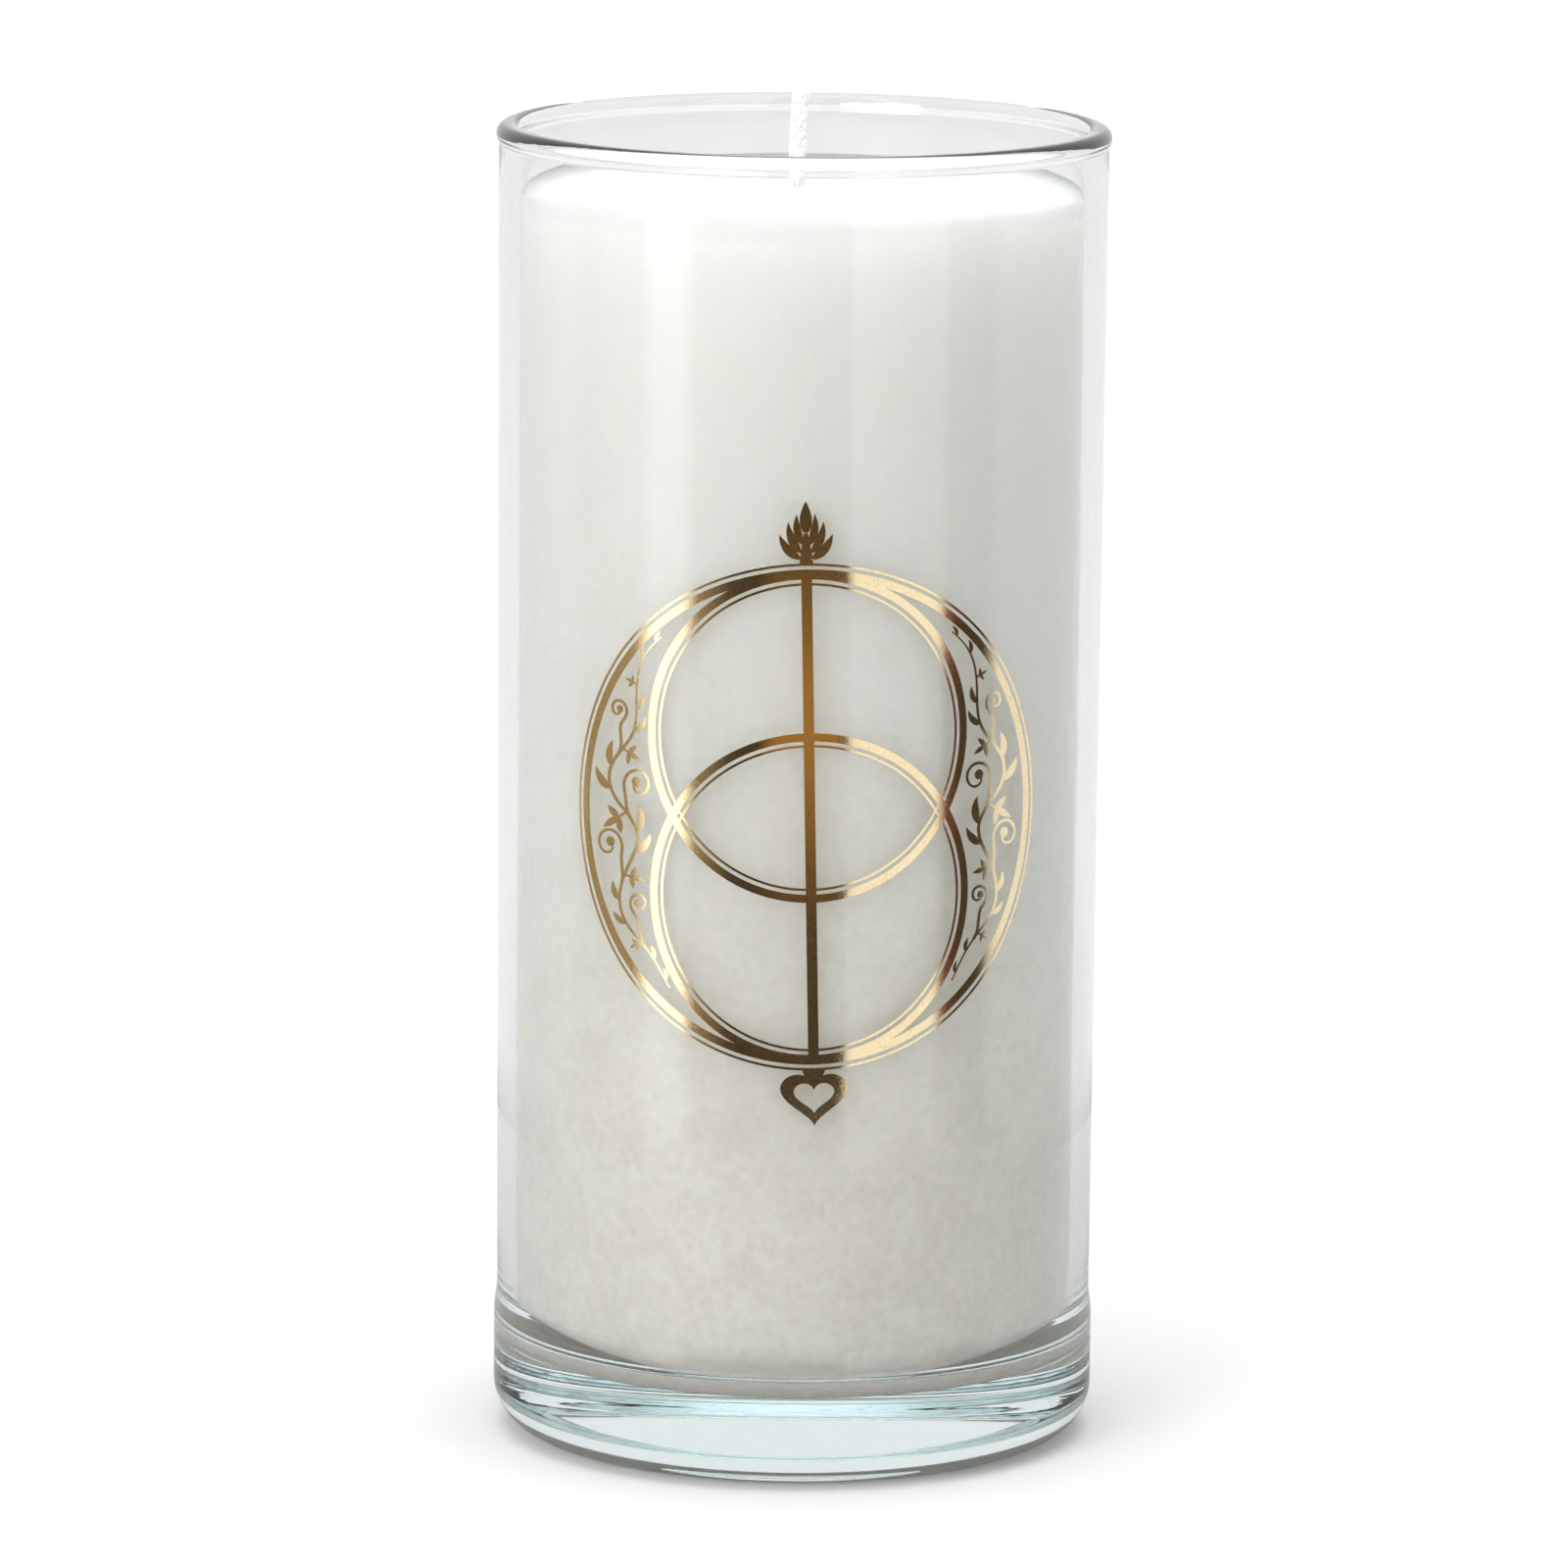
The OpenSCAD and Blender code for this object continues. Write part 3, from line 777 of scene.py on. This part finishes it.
# light tent that shows only in reflections: dark opening in front, soft panels beside it
tent = {
    "radius": 0.2, "height": 0.6, "amberHeight": 0.068, "amberSize": 0.018, "amberFull": 10.0,
    "amberEnd": 16.0, "skirtHeight": 0.01,
}
cloth = {
    "side": (0.93, 0.92, 0.89), "brown": (0.34, 0.26, 0.16), "tan": (0.36, 0.28, 0.17),
    "strip": (1.7, 1.68, 1.6), "shadow": (0.3, 0.22, 0.13), "dark": (0.058, 0.041, 0.025),
    "panel": (1.05, 1.02, 0.95), "red": (0.17, 0.04, 0.03), "amber": (0.36, 0.19, 0.05),
    "skirt": (0.5, 0.49, 0.47),
}
clothStops = [
    (-180, "side"), (-94, "side"), (-82, "brown"), (-61, "tan"), (-54, "strip"), (-44, "strip"),
    (-38, "shadow"), (-26, "dark"), (14, "dark"), (15.6, "panel"), (47, "panel"), (50, "red"),
    (56, "dark"), (66, "dark"), (72, "side"), (180, "side"),
]


def tentWall():
    work = bmesh.new()
    bmesh.ops.create_cone(work, cap_ends=False, segments=roundSides, radius1=tent["radius"],
                          radius2=tent["radius"], depth=tent["height"],
                          matrix=Matrix.Translation((0, 0, tent["height"] / 2)))
    mesh = bpy.data.meshes.new("tentWall")
    work.to_mesh(mesh)
    work.free()
    wall = bpy.data.objects.new("tentWall", mesh)
    scene.collection.objects.link(wall)
    wall.visible_camera = wall.visible_diffuse = wall.visible_transmission = False
    wall.visible_shadow = wall.visible_volume_scatter = False
    material = bpy.data.materials.new("tentCloth")
    material.use_nodes = True
    tree = material.node_tree
    tree.nodes.clear()
    spot = addNode(tree, "ShaderNodeSeparateXYZ", Vector=objectSpace(tree))
    azimuth = headingOf(tree, spot)
    share = calc(tree, "DIVIDE", calc(tree, "ADD", azimuth, 180.0), 360.0)
    panels = rampField(tree, share, [((angle + 180) / 360, cloth[name]) for angle, name in clothStops])
    away = calc(tree, "SUBTRACT", spot.outputs["Z"], tent["amberHeight"])
    away = calc(tree, "DIVIDE", away, tent["amberSize"])
    glow = calc(tree, "EXPONENT", calc(tree, "MULTIPLY", calc(tree, "MULTIPLY", away, away), -1.0))
    front = spread(tree, calc(tree, "ABSOLUTE", azimuth), 1.0, 0.0, tent["amberFull"], tent["amberEnd"])
    glowing = mixColours(tree, calc(tree, "MULTIPLY", glow, front), panels, (*cloth["amber"], 1))
    low = spread(tree, spot.outputs["Z"], 1.0, 0.0, 0.0, tent["skirtHeight"])
    skirted = mixColours(tree, low, glowing, (*cloth["skirt"], 1))
    light = addNode(tree, "ShaderNodeEmission", Color=skirted, Strength=1.0)
    end = addNode(tree, "ShaderNodeOutputMaterial")
    tree.links.new(light.outputs[0], end.inputs["Surface"])
    mesh.materials.append(material)


tentWall()

# world: levels run from the front to behind the candle, brighter overhead; the camera sees plain white
sky = {
    "levels": [(0.0, 1.14), (0.25, 1.10), (0.5, 1.02), (0.8, 0.95), (1.0, 0.95)],
    "top": 3.5, "topInGlass": 1.8, "topEdge": (0.86, 0.94), "seen": 1.0,
}
world = bpy.data.worlds.new("softRoom")
scene.world = world
world.use_nodes = True
skyTree = world.node_tree
skyTree.nodes.clear()
direction = addNode(skyTree, "ShaderNodeTexCoord").outputs["Generated"]
facing = addNode(skyTree, "ShaderNodeSeparateXYZ", Vector=direction)
towards = spread(skyTree, facing.outputs["Y"], 0.0, 1.0, -1.0, 1.0)
level = rampField(skyTree, towards, [(at, (grey, grey, grey)) for at, grey in sky["levels"]])
overhead = addNode(skyTree, "ShaderNodeMix", {"data_type": "FLOAT"})
feed(skyTree, overhead.inputs["Factor"], spread(skyTree, facing.outputs["Z"], 0.0, 1.0, *sky["topEdge"]))
feed(skyTree, overhead.inputs[2], level)
skyPath = addNode(skyTree, "ShaderNodeLightPath").outputs
topLevel = spread(skyTree, skyPath["Diffuse Depth"], sky["topInGlass"], sky["top"])
feed(skyTree, overhead.inputs[3], topLevel)
lit = addNode(skyTree, "ShaderNodeBackground", Color=(1, 1, 1, 1), Strength=overhead.outputs[0])
plain = addNode(skyTree, "ShaderNodeBackground", Color=(1, 1, 1, 1), Strength=sky["seen"])
seen = addNode(skyTree, "ShaderNodeMixShader")
feed(skyTree, seen.inputs[0], skyPath["Is Camera Ray"])
feed(skyTree, seen.inputs[1], lit.outputs[0])
feed(skyTree, seen.inputs[2], plain.outputs[0])
skyOut = addNode(skyTree, "ShaderNodeOutputWorld")
skyTree.links.new(seen.outputs[0], skyOut.inputs["Surface"])

# one round softbox at the front left
softbox = {"place": Vector((-0.62, -0.93, 0.42)), "target": Vector((0, 0, 0.09)), "size": 0.7, "power": 6.5}
lamp = bpy.data.lights.new("leftBox", "AREA")
lamp.shape = "DISK"
lamp.size = softbox["size"]
lamp.energy = softbox["power"]
lampHolder = bpy.data.objects.new("leftBox", lamp)
lampHolder.location = softbox["place"]
lampHolder.rotation_euler = (softbox["target"] - softbox["place"]).to_track_quat("-Z", "Y").to_euler()
lampHolder.visible_camera = False
scene.collection.objects.link(lampHolder)

# camera: in front, a little to the left, looking down on the rim
view = {
    "distance": 1.20976, "height": 0.29752, "yaw": -0.00142, "pitch": 0.17639, "roll": 0.00998,
    "swing": -2.35, "lens": 225.0, "sensor": 36.0, "near": 0.01, "far": 50.0,
}
camera = bpy.data.cameras.new("camera")
camera.lens = view["lens"]
camera.sensor_width = view["sensor"]
camera.clip_start = view["near"]
camera.clip_end = view["far"]
holder = bpy.data.objects.new("camera", camera)
scene.collection.objects.link(holder)
flat = math.cos(view["pitch"])
ahead = Vector((math.sin(view["yaw"]) * flat, math.cos(view["yaw"]) * flat, -math.sin(view["pitch"])))
right = ahead.cross(Vector((0, 0, 1))).normalized()
above = right.cross(ahead)
rolled = math.cos(view["roll"]) * right + math.sin(view["roll"]) * above
above = -math.sin(view["roll"]) * right + math.cos(view["roll"]) * above
pose = Matrix((rolled, above, -ahead)).transposed().to_4x4()
pose.translation = Vector((0, -view["distance"], view["height"]))
holder.matrix_world = Euler((0, 0, math.radians(view["swing"]))).to_matrix().to_4x4() @ pose
scene.camera = holder

scene.view_settings.view_transform = "Standard"
scene.cycles.use_denoising = True
lightBounces = 24
scene.cycles.max_bounces = lightBounces
scene.cycles.transmission_bounces = lightBounces
scene.cycles.glossy_bounces = lightBounces
scene.cycles.adaptive_threshold = 0.06
print("stage lit")
